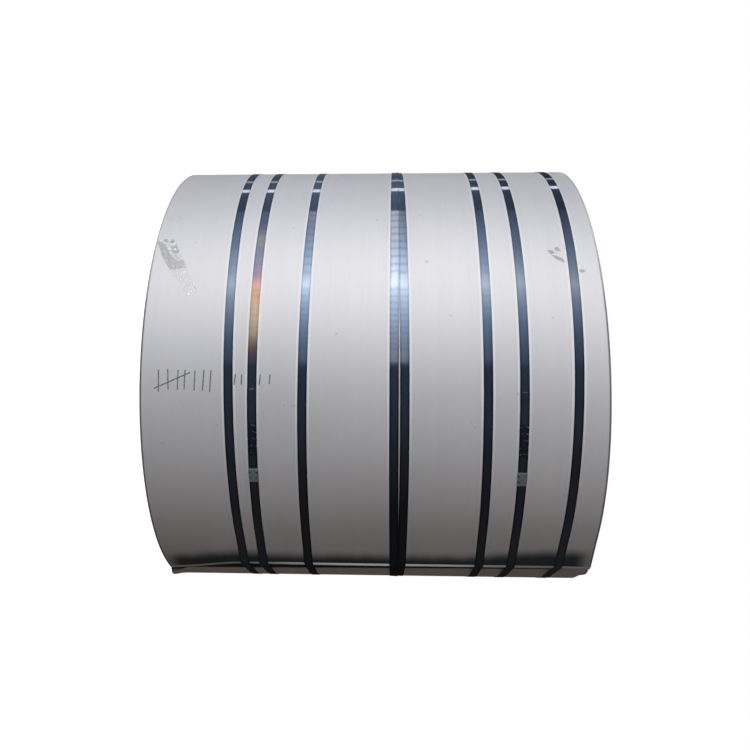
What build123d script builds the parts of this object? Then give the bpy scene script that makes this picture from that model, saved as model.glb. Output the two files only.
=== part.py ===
from build123d import *
import os
from math import acos, atan2, cos, degrees, radians, sin

# A coil of steel sheet standing on its end, held by eight flat steel straps.
# Its axis is Z, and the origin is on the axis, at the lower end. Lengths are in millimetres.
# Angles are in degrees about Z, seen from above: 0 is +X, and 270 is the front.
# With the coil lying on its side, +X is down, and the tail is low on the front.

# Coil
coil_width = 1250.0
outer_radius = 690.0
bore_radius = 305.0
sheet_thickness = 3.0

# Outer end of the sheet: it leaves the round straight, then curls in towards its cut edge
tail_leaves_at = 310.5
tail_straight = 140.0
tail_curl_radius = 60.0
tail_curl_turn = 34.0
tail_gap_opens_after = 2.0

# Inner end of the sheet, a step in the bore
inner_end_at = 165.0
inner_end_run = 45.0

# The turns show on the ends as groups that are set back a little from the face
turn_groups = 5
telescoping = 4.0

# Straps, each lapped under its seal with a loose end past it
strap_width = 25.0
strap_thickness = 0.9
strap_clearance = 0.2
lap_before_seal = 240.0
lap_after_seal = 45.0
pair_gap = 3.4
pair_splay = 0.27

# Seals, crimped round both layers of the lap
seal_length = 40.0
seal_thickness = 1.2
seal_clearance = 0.15
seal_above_sheet = 0.25
notch_length = 5.0
notch_depth = 3.2
notch_spacing = 16.0

# Torn remnants of tape, stuck to the sheet under the straps
tape_thickness = 0.1
tape_clearance = 0.05

# Strap rows: place from the middle as a share of half the coil's width, place beside it in
# strap pitches, rise in degrees towards -X and towards the front, angle of the seal
strap_rows = [
    (-0.633, 0, -1.01, 0.80, 74.0),
    (-0.521, 0, 0.15, 0.34, 293.9),
    (-0.293, 0, 0.66, -0.30, 68.0),
    (0.112, -0.5, 0.25 + pair_splay / 2, 0.12, 77.0),
    (0.112, 0.5, 0.25 - pair_splay / 2, 0.12, 71.0),
    (0.500, 0, 0.35, -0.59, 66.0),
    (0.642, 0, 0.50, -0.06, 294.4),
    (0.873, 0, 1.21, -0.21, 73.0),
]

# Corners of each tape remnant: distance in from the coil's end, distance round from the front
lower_tape = [
    (6, 385), (26, 398), (50, 397), (77, 345), (104, 294),
    (138, 226), (117, 209), (84, 262), (58, 284), (33, 325),
]
upper_tape = [
    (141, 353), (111, 366), (99, 345), (57, 313), (39, 283), (55, 277), (94, 311), (118, 321),
]


def direction(angle):
    """Unit vector across the coil at an angle."""
    return Vector(cos(radians(angle)), sin(radians(angle)))


# The outside is a spiral of two half circles, which comes out by one sheet in a turn
tail_out = direction(tail_leaves_at)
tail_along = direction(tail_leaves_at + 90)
under_radius = outer_radius - 0.75 * sheet_thickness
under_centre = tail_out * (-0.25 * sheet_thickness)
over_radius = outer_radius - 0.25 * sheet_thickness
over_centre = tail_out * (0.25 * sheet_thickness)

# The tail's outside runs straight from lift_point to bend_point, then round curl_centre
lift_point = tail_out * outer_radius
bend_point = lift_point + tail_along * tail_straight
curl_centre = bend_point - tail_out * tail_curl_radius

# A tight band leaves the curl at this angle, in line with the turn below the tail
to_curl = curl_centre - under_centre
band_leaves_at = 360 + degrees(
    atan2(to_curl.Y, to_curl.X) + acos((under_radius - tail_curl_radius) / to_curl.length)
)


def sheet_outline():
    """Section of the wound sheet: the spiral, and the tail standing off the turn below it."""
    cut_edge = direction(tail_leaves_at + tail_curl_turn)
    inner_curl = tail_curl_radius - sheet_thickness
    gap_angle = tail_leaves_at + tail_gap_opens_after
    gap_run = outer_radius * sin(radians(tail_gap_opens_after))
    gap_outer = lift_point - tail_out * sheet_thickness + tail_along * gap_run
    gap_inner = under_centre + direction(gap_angle) * under_radius
    return make_face(Wire([
        CenterArc(over_centre, over_radius, tail_leaves_at - 180, 180),
        Line(lift_point, bend_point),
        CenterArc(curl_centre, tail_curl_radius, tail_leaves_at, tail_curl_turn),
        Line(curl_centre + cut_edge * tail_curl_radius, curl_centre + cut_edge * inner_curl),
        CenterArc(curl_centre, inner_curl, tail_leaves_at, tail_curl_turn),
        Line(curl_centre + tail_out * inner_curl, gap_outer),
        Line(gap_outer, gap_inner),
        CenterArc(under_centre, under_radius, gap_angle, 180 - tail_gap_opens_after),
    ]))


def band_outline(lift):
    """Face inside a band pulled tight round the coil, at a distance outside the sheet."""
    off_curl = direction(band_leaves_at)
    curl = tail_curl_radius + lift
    under = under_radius + lift
    return make_face(Wire([
        CenterArc(over_centre, over_radius + lift, tail_leaves_at - 180, 180),
        Line(lift_point + tail_out * lift, bend_point + tail_out * lift),
        CenterArc(curl_centre, curl, tail_leaves_at, band_leaves_at - tail_leaves_at),
        Line(curl_centre + off_curl * curl, under_centre + off_curl * under),
        CenterArc(under_centre, under, band_leaves_at, tail_leaves_at + 180 - band_leaves_at),
    ]))


def layer(angle, before, after, low, high):
    """Section of a layer on the coil: its run each way from an angle, and its two heights."""
    over = (angle - tail_leaves_at) % 360 > 180
    centre = over_centre if over else under_centre
    radius = over_radius if over else under_radius
    start = angle - degrees(before / radius)
    turn = degrees((before + after) / radius)
    inner = CenterArc(centre, radius + low, start, turn)
    outer = CenterArc(centre, radius + high, start, turn)
    return make_face(Wire([inner, outer, Line(inner @ 0, outer @ 0), Line(inner @ 1, outer @ 1)]))


def ring_bar(section, height, reach):
    """Section across the coil made solid, up and down from a height."""
    return Pos(0, 0, height) * extrude(section, amount=reach, both=True)


def slab(height, slant, thickness):
    """Slab across the whole coil, rising towards -X and the front, that trims a band to its width."""
    size = 4 * outer_radius
    rise_across, rise_to_front = slant
    return Pos(0, 0, height) * Rot(-rise_to_front, rise_across, 0) * Box(size, size, thickness)


def strap_height(share, pitches):
    return coil_width / 2 * (1 + share) + pitches * (strap_width + pair_gap)


def inner_end_step():
    """Section of the hollow in the bore beside the inner end of the sheet."""
    bore = CenterArc((0, 0), bore_radius, inner_end_at, inner_end_run)
    deepest = direction(inner_end_at + inner_end_run) * (bore_radius + sheet_thickness)
    halfway = direction(inner_end_at + inner_end_run / 2) * (bore_radius + sheet_thickness / 2)
    return make_face(Wire([bore, Line(bore @ 1, deepest), ThreePointArc(deepest, halfway, bore @ 0)]))


def make_coil():
    coil = ring_bar(sheet_outline(), coil_width / 2, coil_width / 2)
    coil -= ring_bar(Circle(bore_radius), coil_width / 2, coil_width)
    coil -= ring_bar(inner_end_step(), coil_width / 2, coil_width)
    group_width = (outer_radius - sheet_thickness - bore_radius) / turn_groups
    for group in range(1, turn_groups - 1):
        inner = bore_radius + group * group_width
        ring = Circle(inner + group_width) - Circle(inner)
        for end_height, stagger in ((0, 0.62), (coil_width, 0.38)):
            setback = telescoping * (0.25 + 0.75 * (group * stagger % 1.0))
            coil -= ring_bar(ring, end_height, setback)
    return coil


def make_strap(share, pitches, rise_across, rise_to_front, seal_angle):
    slant = (rise_across, rise_to_front)
    outer = strap_clearance + strap_thickness
    section = band_outline(outer) - band_outline(strap_clearance)
    section += layer(seal_angle, lap_before_seal, lap_after_seal, outer, outer + strap_thickness)
    height = strap_height(share, pitches)
    return ring_bar(section, height, 2 * strap_width) & slab(height, slant, strap_width)


def make_seal(share, pitches, rise_across, rise_to_front, seal_angle):
    slant = (rise_across, rise_to_front)
    height = strap_height(share, pitches)
    inner_width = strap_width + 2 * seal_clearance
    outer_width = inner_width + 2 * seal_thickness
    inner_top = strap_clearance + 2 * strap_thickness + seal_clearance
    outer_top = inner_top + seal_thickness
    half = seal_length / 2
    body = layer(seal_angle, half, half, seal_above_sheet, outer_top)
    channel = layer(seal_angle, seal_length, seal_length, 0, inner_top)
    seal = ring_bar(body, height, seal_length) & slab(height, slant, outer_width)
    seal -= ring_bar(channel, height, seal_length) & slab(height, slant, inner_width)
    sides = slab(height, slant, 2 * outer_width) - slab(height, slant, outer_width - 2 * notch_depth)
    for shift in (-notch_spacing / 2, notch_spacing / 2):
        before = notch_length / 2 - shift
        after = notch_length / 2 + shift
        notch = layer(seal_angle, before, after, 0, outer_top + seal_thickness)
        seal -= ring_bar(notch, height, seal_length) & sides
    return seal


def make_tape(corners, end_height, inward):
    skin = band_outline(tape_clearance + tape_thickness) - band_outline(tape_clearance)
    outline = [
        (-outer_radius * sin(distance / outer_radius), end_height + inward * inset)
        for inset, distance in corners
    ]
    patch = extrude(Plane.XZ * make_face(Polyline(*outline, close=True)), amount=2 * outer_radius)
    return ring_bar(skin, coil_width / 2, coil_width / 2) & patch


def write(part, name):
    export_step(part, f"parts/{name}.step")


os.makedirs("parts", exist_ok=True)
write(make_coil(), "coil")
for number, strap_row in enumerate(strap_rows, start=1):
    write(make_strap(*strap_row), f"strap_{number}")
    write(make_seal(*strap_row), f"seal_{number}")
write(make_tape(lower_tape, 0, 1), "tape_lower")
write(make_tape(upper_tape, coil_width, -1), "tape_upper")
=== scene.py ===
"""Looks of a steel coil with its straps, seals and tape remnants.

The coil stands on its end, with its axis on Z. Lengths are in metres and angles in degrees.
A place on the round is often given by its rise: 0 at the front (-Y), 90 at -X, -90 at +X.
"""
import math
import random

import bmesh
import bpy
import numpy as np
from mathutils import Matrix, Vector, geometry, noise


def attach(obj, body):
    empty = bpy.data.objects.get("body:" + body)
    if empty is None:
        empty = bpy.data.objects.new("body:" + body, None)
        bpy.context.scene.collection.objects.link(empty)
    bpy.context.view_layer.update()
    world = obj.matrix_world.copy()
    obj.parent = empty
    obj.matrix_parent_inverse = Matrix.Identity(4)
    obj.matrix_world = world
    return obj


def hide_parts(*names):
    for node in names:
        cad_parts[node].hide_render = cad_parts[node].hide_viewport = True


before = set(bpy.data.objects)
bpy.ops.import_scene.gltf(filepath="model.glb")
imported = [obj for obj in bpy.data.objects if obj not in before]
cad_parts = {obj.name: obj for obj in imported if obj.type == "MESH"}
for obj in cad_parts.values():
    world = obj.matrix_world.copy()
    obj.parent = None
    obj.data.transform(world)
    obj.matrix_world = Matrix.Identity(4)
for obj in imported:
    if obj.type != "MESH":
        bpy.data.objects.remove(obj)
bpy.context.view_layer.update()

# Coil
WIDTH = 1.250
RADIUS = 0.690
BORE = 0.305
SHEET = 0.003
MIDDLE = WIDTH / 2

# Tail of the sheet
TAIL_AT = 310.5
TAIL_STRAIGHT = 0.140
TAIL_CURL = 0.060
TAIL_TURN = 34.0
BEAD = 0.0021
LOWER_CORNER = 0.165
LOWER_CORNER_END = LOWER_CORNER * math.log(50)
LOWER_CORNER_LONGER = 0.42
UPPER_CORNER = 0.072
UPPER_CORNER_SPRING = 0.003
# Bent corners of the turn below the tail: angle where the bend is greatest, where it starts
# and ends, and how far it stands out
LOWER_BEND = (333.0, 330.8, 345.0, 0.0158)
UPPER_BEND = (326.25, 321.0, 338.0, 0.0185)
BEND_REACH = 0.05

# Winding, and where the sheet's inner end is
STEPS = 160
INNER_END_AT = 209.25
EDGE_EASE = 0.00015
TELESCOPE = 0.0032
WALL_ROWS = 24

# Straps
STRAP_WIDTH = 0.025
STRAP_THICK = 0.0009
STRAP_LIFT = 0.0002
STRAP_PITCH = STRAP_WIDTH + 0.0034
LAP_BEFORE = 0.240
LAP_AFTER = 0.045
LAP_GAP = 0.00002
FREE_END_SPRING = 0.0009
PAIR_SPLAY = 0.27

# Seals
SEAL_LENGTH = 0.040
SEAL_THICK = 0.0012
SEAL_ROOM = 0.00015
SEAL_ABOVE = 0.00025
NOTCH_AT = 0.008
NOTCH_HALF = 0.0026
NOTCH_DEPTH = 0.0032
PRESS_HALF = 0.0062
PRESS_DEPTH = 0.0011

# Place from the middle as a share of half the width, place beside it in strap pitches, rise in
# degrees towards -X and towards the front, angle of the seal
STRAP_ROWS = [
    (-0.633, 0, -1.01, 0.80, 74.0),
    (-0.521, 0, 0.15, 0.34, 293.9),
    (-0.293, 0, 0.66, -0.30, 68.0),
    (0.112, -0.5, 0.25 + PAIR_SPLAY / 2, 0.12, 77.0),
    (0.112, 0.5, 0.25 - PAIR_SPLAY / 2, 0.12, 71.0),
    (0.500, 0, 0.35, -0.59, 66.0),
    (0.642, 0, 0.50, -0.06, 294.4),
    (0.873, 0, 1.21, -0.21, 73.0),
]


def direction(angle):
    return np.array([math.cos(math.radians(angle)), math.sin(math.radians(angle))])


def smooth(x, low, high):
    f = np.clip((np.asarray(x, float) - low) / (high - low), 0, 1)
    return f * f * (3 - 2 * f)


TAIL_OUT = direction(TAIL_AT)
TAIL_ALONG = direction(TAIL_AT + 90)
UNDER_RADIUS = RADIUS - 0.75 * SHEET
UNDER_CENTRE = TAIL_OUT * (-0.25 * SHEET)
OVER_RADIUS = RADIUS - 0.25 * SHEET
OVER_CENTRE = TAIL_OUT * (0.25 * SHEET)
LIFT_POINT = TAIL_OUT * RADIUS
BEND_POINT = LIFT_POINT + TAIL_ALONG * TAIL_STRAIGHT
CURL_CENTRE = BEND_POINT - TAIL_OUT * TAIL_CURL
TO_CURL = CURL_CENTRE - UNDER_CENTRE
BAND_LEAVES = 360 + math.degrees(
    math.atan2(TO_CURL[1], TO_CURL[0])
    + math.acos((UNDER_RADIUS - TAIL_CURL) / np.linalg.norm(TO_CURL))
)


def rise_of(x, y):
    """How far round from the front a place is, in degrees, up towards -X."""
    return math.degrees(math.atan2(-x, -y))


def band_point(kind, value):
    """Place on the line that a tight band follows, and its outward direction.

    The value is an angle on the round and the curl, and 0 to 1 along the tail and the chord.
    """
    if kind == "over":
        n = direction(value)
        return OVER_CENTRE + n * OVER_RADIUS, n
    if kind == "tail":
        return LIFT_POINT + TAIL_ALONG * TAIL_STRAIGHT * value, TAIL_OUT
    if kind == "curl":
        n = direction(value)
        return CURL_CENTRE + n * TAIL_CURL, n
    if kind == "chord":
        n = direction(BAND_LEAVES)
        a = CURL_CENTRE + n * TAIL_CURL
        b = UNDER_CENTRE + n * UNDER_RADIUS
        return a + (b - a) * value, n
    n = direction(value)
    return UNDER_CENTRE + n * UNDER_RADIUS, n


def band_line(step):
    """Points round the band as (x, y, nx, ny), about step apart, without the last one."""
    places = []

    def run(kind, start, end, length):
        count = max(2, int(round(length / step)))
        for k in range(count):
            places.append((kind, start + (end - start) * k / count))

    chord = np.linalg.norm(
        UNDER_CENTRE + direction(BAND_LEAVES) * UNDER_RADIUS
        - CURL_CENTRE - direction(BAND_LEAVES) * TAIL_CURL
    )
    run("over", TAIL_AT - 180, TAIL_AT, math.pi * OVER_RADIUS)
    run("tail", 0, 1, TAIL_STRAIGHT)
    run("curl", TAIL_AT, BAND_LEAVES, math.radians(BAND_LEAVES - TAIL_AT) * TAIL_CURL * 2)
    run("chord", 0, 1, chord)
    run("under", BAND_LEAVES, TAIL_AT + 180,
        math.radians(TAIL_AT + 180 - BAND_LEAVES) * UNDER_RADIUS)
    out = []
    for kind, value in places:
        p, n = band_point(kind, value)
        out.append((p[0], p[1], n[0], n[1]))
    return np.array(out)


def round_at(angle):
    """Centre and radius of the half circle that the outside follows at an angle."""
    if (angle - TAIL_AT) % 360 > 180:
        return OVER_CENTRE, OVER_RADIUS
    return UNDER_CENTRE, UNDER_RADIUS


def band_height(row, x, y, index):
    """Height of a strap's middle line where it passes a place on the round."""
    share, pitches, across, front, _ = row
    z = MIDDLE * (1 + share) + pitches * STRAP_PITCH
    z -= x * math.tan(math.radians(across)) + y * math.tan(math.radians(front))
    return z + pair_shift(index, rise_of(x, y))


# The two straps of the pair draw together over the top and at the bottom, and lap there
PAIR_DRAW = 0.0112
PAIR_TILT = 0.05


def pair_window(rise):
    return float(smooth(rise, 150, 70) * smooth(rise, -125, -55))


def pair_shift(index, rise):
    if index not in (3, 4):
        return 0.0
    drawn = PAIR_DRAW * (1 - math.cos(math.radians(rise))) * pair_window(rise)
    return drawn if index == 3 else -drawn


def pair_pitch(rise):
    x = -RADIUS * math.sin(math.radians(rise))
    y = -RADIUS * math.cos(math.radians(rise))
    return band_height(STRAP_ROWS[4], x, y, 4) - band_height(STRAP_ROWS[3], x, y, 3)


def pair_lift(index, rise, side):
    """How far a place across the left strap of the pair is lifted where it laps over the right one."""
    if index != 3:
        return 0.0
    pitch = pair_pitch(rise)
    lapped = float(smooth(pitch, STRAP_WIDTH + 0.0012, STRAP_WIDTH + 0.0001))
    clear = STRAP_THICK + 0.00015
    tilt = min(PAIR_TILT, clear / pitch)
    return lapped * (clear - tilt * (pitch - side - STRAP_WIDTH / 2))


# Mesh helpers


def new_object(name, vertices, faces, smooth_angle=None):
    mesh = bpy.data.meshes.new(name)
    mesh.from_pydata([tuple(map(float, v)) for v in vertices], [], faces)
    tidy = bmesh.new()
    tidy.from_mesh(mesh)
    bmesh.ops.recalc_face_normals(tidy, faces=tidy.faces)
    if smooth_angle is not None:
        limit = math.radians(smooth_angle)
        for face in tidy.faces:
            face.smooth = True
        for edge in tidy.edges:
            if len(edge.link_faces) == 2 and edge.calc_face_angle(0) > limit:
                edge.smooth = False
    tidy.to_mesh(mesh)
    tidy.free()
    thing = bpy.data.objects.new(name, mesh)
    bpy.context.scene.collection.objects.link(thing)
    return thing


def add_attribute(thing, name, values):
    layer = thing.data.attributes.new(name, "FLOAT", "POINT")
    layer.data.foreach_set("value", np.asarray(values, np.float32))


# Wound sheet


def end_height(q, turns, end):
    """How far a turn's edge is set back from the end, for its place in turns from the outside."""
    phase = 0.0 if end == "low" else 2.1
    wave = 0.5 + 0.5 * np.sin(q * 0.073 * math.tau + 0.9 + phase)
    group = 0.5 + 0.5 * np.sin(q * 0.31 * math.tau + phase * 2)
    turn = 0.5 + 0.5 * np.sin(q * 0.617 * math.tau + phase)
    fine = 0.5 + 0.5 * np.sin(q * 1.393 * math.tau + phase * 3)
    back = TELESCOPE * (0.52 * wave ** 2 + 0.16 * group + 0.2 * turn + 0.12 * fine)
    return back * smooth(q, 1.3, 7) * smooth(q, turns - 1.6, turns - 6)


def tail_places():
    """Outer face of the tail from the lift point to its bead, with its outward direction."""
    out = [(LIFT_POINT + TAIL_ALONG * TAIL_STRAIGHT * k / 5, TAIL_OUT) for k in range(1, 6)]
    for k in range(1, 10):
        n = direction(TAIL_AT + TAIL_TURN * k / 9)
        out.append((CURL_CENTRE + n * TAIL_CURL, n))
    return out


def make_sheet():
    outermost = tail_places()
    tail_count = len(outermost)
    turns = (RADIUS - SHEET - BORE) / SHEET
    whole = int(turns)
    last = int(round((whole * 360 + TAIL_AT - INNER_END_AT) / (360 / STEPS)))
    if (last / STEPS) > turns:
        last -= STEPS
    q = np.arange(-tail_count, last + 1) / STEPS
    angle = np.radians(TAIL_AT - q * 360)
    radius = RADIUS - SHEET * q
    low = end_height(np.maximum(q, 0), last / STEPS, "low")
    high = WIDTH - end_height(np.maximum(q, 0), last / STEPS, "high")
    unit = np.stack([np.cos(angle), np.sin(angle)], 1)
    outer = unit * radius[:, None]
    inner = unit * (radius - SHEET)[:, None]
    normal = unit.copy()
    for k, (place, n) in enumerate(outermost):
        at = tail_count - 1 - k
        outer[at], inner[at], normal[at] = place, place - n * SHEET, n

    vertices, faces = [], []

    def add(points, z):
        start = len(vertices)
        for p, height in zip(points, z):
            vertices.append((p[0], p[1], height))
        return np.arange(start, start + len(points))

    ease = EDGE_EASE
    first = tail_count
    turn_end = first + STEPS
    inner_turn = len(q) - 1 - STEPS
    edge = {}
    for end, z in (("low", low), ("high", high)):
        edge["outer", end] = add(outer - normal * ease, z)
        edge["inner", end] = add(inner + normal * ease, z)

    shares = np.linspace(0, 1, WALL_ROWS + 1)
    tail_run = np.zeros(len(q))
    run = 0.0
    for at in range(first - 1, -1, -1):
        run += np.linalg.norm(outer[at] - outer[at + 1])
        tail_run[at] = run

    def corner_bend(at, z):
        """How far the corners of the turn below the tail are bent out."""
        if at < first + STEPS // 2:
            return 0.0
        around = TAIL_AT + (1 - q[at]) * 360
        out = 0.0
        for inset, (peak, start, end, height) in ((z, LOWER_BEND), (WIDTH - z, UPPER_BEND)):
            side = smooth(around, start, peak) * smooth(around, end, peak) ** 1.4
            out += height * float(side * smooth(inset, BEND_REACH, 0.0))
        return out

    def tail_place(at, z):
        """Outer face of the sheet at a step and height, and its outward direction.

        The tail's lower corner lies down on the turn below, and its upper corner springs out.
        """
        if at >= first:
            return outer[at] + normal[at] * corner_bend(at, z), normal[at]
        lie = (math.exp(-z / LOWER_CORNER) - 0.02) / 0.98 if z < LOWER_CORNER_END else 0.0
        longer = 1 + LOWER_CORNER_LONGER * float(smooth(z, 0.25, 0.08))
        laid = direction(TAIL_AT + math.degrees(tail_run[at] * longer / RADIUS))
        place = outer[at] * (1 - lie) + laid * (RADIUS + 0.0005) * lie
        out = normal[at] * (1 - lie) + laid * lie
        out = out / np.linalg.norm(out)
        spring = UPPER_CORNER_SPRING * float(smooth(z, WIDTH - UPPER_CORNER, WIDTH))
        return place + out * spring * (tail_run[at] / run) ** 2, out

    def wall(depth, count_from, count_to):
        columns = {}
        for at in range(count_from, count_to + 1):
            column = []
            for share in shares:
                z = low[at] + ease + (high[at] - low[at] - 2 * ease) * share
                place, out = tail_place(at, z)
                p = place - out * depth
                column.append(len(vertices))
                vertices.append((p[0], p[1], z))
            columns[at] = column
        return columns

    outer_wall = wall(0.0, 0, turn_end)
    inner_wall = wall(SHEET, 0, first - 1)
    inner_wall[first] = outer_wall[turn_end]
    below_tail = range(first + STEPS - STEPS // 8, turn_end)
    for end, z in (("low", 0.0), ("high", WIDTH)):
        for at in [*range(first), *below_tail]:
            place, out = tail_place(at, z)
            for side, depth in (("outer", ease), ("inner", SHEET - ease)):
                p = place - out * depth
                vertices[edge[side, end][at]] = (p[0], p[1], z)
    bore_low = add(inner[inner_turn:], low[inner_turn:] + ease)
    bore_high = add(inner[inner_turn:], high[inner_turn:] - ease)

    for end, wall_row, bore_row in (("low", 0, bore_low), ("high", -1, bore_high)):
        a, b = edge["outer", end], edge["inner", end]
        for at in range(len(q) - 1):
            faces.append((a[at], a[at + 1], b[at + 1], b[at]))
        for at in range(first, inner_turn):
            faces.append((b[at], b[at + 1], a[at + 1 + STEPS], a[at + STEPS]))
        for at in range(turn_end):
            faces.append((outer_wall[at][wall_row], outer_wall[at + 1][wall_row], a[at + 1], a[at]))
        for at in range(first):
            faces.append((inner_wall[at][wall_row], inner_wall[at + 1][wall_row], b[at + 1], b[at]))
        faces.append((b[first], outer_wall[turn_end][wall_row], a[turn_end]))
        for k in range(STEPS):
            at = inner_turn + k
            faces.append((b[at], b[at + 1], bore_row[k + 1], bore_row[k]))
    for columns, count in ((outer_wall, turn_end), (inner_wall, first)):
        for at in range(count):
            near, far = columns[at], columns[at + 1]
            for k in range(WALL_ROWS):
                faces.append((near[k], near[k + 1], far[k + 1], far[k]))
    for k in range(STEPS):
        faces.append((bore_low[k], bore_low[k + 1], bore_high[k + 1], bore_high[k]))

    # Bead along the sheared edge of the tail
    tip_out, tip_in = outer_wall[0], inner_wall[0]
    bead_from = len(vertices)
    bead = []
    for turn in (62, 25, -10, -45, -80):
        column = []
        for index in tip_out:
            z = vertices[index][2]
            place, n = tail_place(0, z)
            onward = np.array([-n[1], n[0]])
            face = n * math.sin(math.radians(turn)) + onward * math.cos(math.radians(turn))
            wobble = 0.0003 * noise.noise(Vector((z * 9, turn * 0.02, 3.7)))
            p = place - n * SHEET / 2 + onward * 0.0012 + face * (BEAD + wobble)
            column.append(len(vertices))
            vertices.append((p[0], p[1], z))
        bead.append(column)
    bead_to = len(vertices)
    ring = [tip_out, *bead, tip_in]
    for near, far in zip(ring, ring[1:]):
        for k in range(WALL_ROWS):
            faces.append((near[k], near[k + 1], far[k + 1], far[k]))
    for end, row in (("low", 0), ("high", -1)):
        cap = [edge["outer", end][0]] + [column[row] for column in ring] + [edge["inner", end][0]]
        faces.append(tuple(cap))

    # Cut edge of the sheet's inner end
    b_low, b_high = edge["inner", "low"], edge["inner", "high"]
    a_low, a_high = edge["outer", "low"], edge["outer", "high"]
    end_at = len(q) - 1
    faces.append((
        bore_high[0], b_high[inner_turn], a_high[end_at], b_high[end_at], bore_high[STEPS],
        bore_low[STEPS], b_low[end_at], a_low[end_at], b_low[inner_turn], bore_low[0],
    ))
    faces = [tuple(int(i) for i in face) for face in faces]
    thing = new_object("coil_sheet", vertices, faces, 24)

    # Distance along the tail, and angle past the lift point on the turn below it
    along_tail = np.zeros(len(vertices))
    past_lift = np.full(len(vertices), 180.0)
    for walls in (outer_wall, inner_wall):
        for at in range(first):
            along_tail[walls[at]] = tail_run[at]
    along_tail[bead_from:bead_to] = run + BEAD
    for at in range(first + STEPS // 2, turn_end + 1):
        past_lift[outer_wall[at]] = (1 - q[at]) * 360
    add_attribute(thing, "along_tail", along_tail)
    add_attribute(thing, "past_lift", past_lift)
    return thing


# Straps

# Section of a strap: place across it, and height
HALF = STRAP_WIDTH / 2
SECTION = [
    (0.0004 - HALF, 0.0), (HALF - 0.0004, 0.0), (HALF, 0.0002), (HALF, STRAP_THICK - 0.0002),
    (HALF - 0.0003, STRAP_THICK), (0.0, STRAP_THICK), (0.0003 - HALF, STRAP_THICK),
    (-HALF, STRAP_THICK - 0.0002), (-HALF, 0.0002),
]


def sweep(rings, closed, vertices, faces):
    """Joins rings of vertices that were already added into a tube, with end caps unless closed."""
    size = len(rings[0])
    pairs = list(zip(rings, rings[1:])) + ([(rings[-1], rings[0])] if closed else [])
    for near, far in pairs:
        for k in range(size):
            m = (k + 1) % size
            faces.append((near[k], near[m], far[m], far[k]))
    if not closed:
        faces.append(tuple(reversed(rings[0])))
        faces.append(tuple(rings[-1]))


# Marks of the tensioner's jaws on the two laps at the front, by rise in degrees
JAW_MARKS = (-11.9, -13.4, -15.0, -16.6, -18.2)


def bitten(index, rise):
    """How far the tensioner's jaws have drawn in a strap's edges, 0 to 1."""
    if index not in (1, 6):
        return 0.0
    depth = 0.0
    for mark in JAW_MARKS:
        depth = max(depth, 1 - abs(rise - mark) / 0.32)
    return max(depth, 0.0)


def make_strap(index, row):
    vertices, faces, across = [], [], []

    def ring(x, y, nx, ny, lift, narrow=0.0, dish=0.0, thin=1.0):
        z = band_height(row, x, y, index)
        rise = rise_of(x, y)
        start = len(vertices)
        for a, h in SECTION:
            side = a * (1 - narrow)
            up = lift + STRAP_LIFT + pair_lift(index, rise, a) + h * thin
            up -= dish * (abs(a) > 0.01) * (h > 0.0005)
            vertices.append((x + nx * up, y + ny * up, z + side))
            across.append(a / HALF)
        return list(range(start, len(vertices)))

    rings = []
    for x, y, nx, ny in band_line(0.006):
        rings.append(ring(x, y, nx, ny, 0.0))
    sweep(rings, True, vertices, faces)

    # Upper layer of the lap, from past the seal to its free end
    seal_angle = row[4]
    centre, base = round_at(seal_angle)
    count = 150
    rings = []
    for k in range(count + 1):
        along = -LAP_BEFORE + (LAP_BEFORE + LAP_AFTER) * k / count
        n = direction(seal_angle + math.degrees(along / base))
        x, y = centre + n * base
        free = LAP_BEFORE + along
        spring = FREE_END_SPRING * float(smooth(free, 0.04, 0.0))
        bite = bitten(index, rise_of(x, y))
        rings.append(ring(x, y, n[0], n[1], STRAP_THICK + LAP_GAP + spring,
                          narrow=0.09 * bite, dish=0.00035 * bite))

    def lap_end(along, onward, spring, narrow):
        n = direction(seal_angle + math.degrees(along / base))
        x, y = centre + n * base + np.array([-n[1], n[0]]) * onward
        return ring(x, y, n[0], n[1], STRAP_THICK + LAP_GAP + spring, narrow=narrow, thin=0.35)

    rings.insert(0, lap_end(-LAP_BEFORE, -0.0012, FREE_END_SPRING, 0.45))
    rings.append(lap_end(LAP_AFTER, 0.0012, 0.0, 0.1))
    sweep(rings, False, vertices, faces)
    thing = new_object(f"strap_band_{index + 1}", vertices, faces, 28)
    add_attribute(thing, "across", across)
    return thing


# Seals


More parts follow.
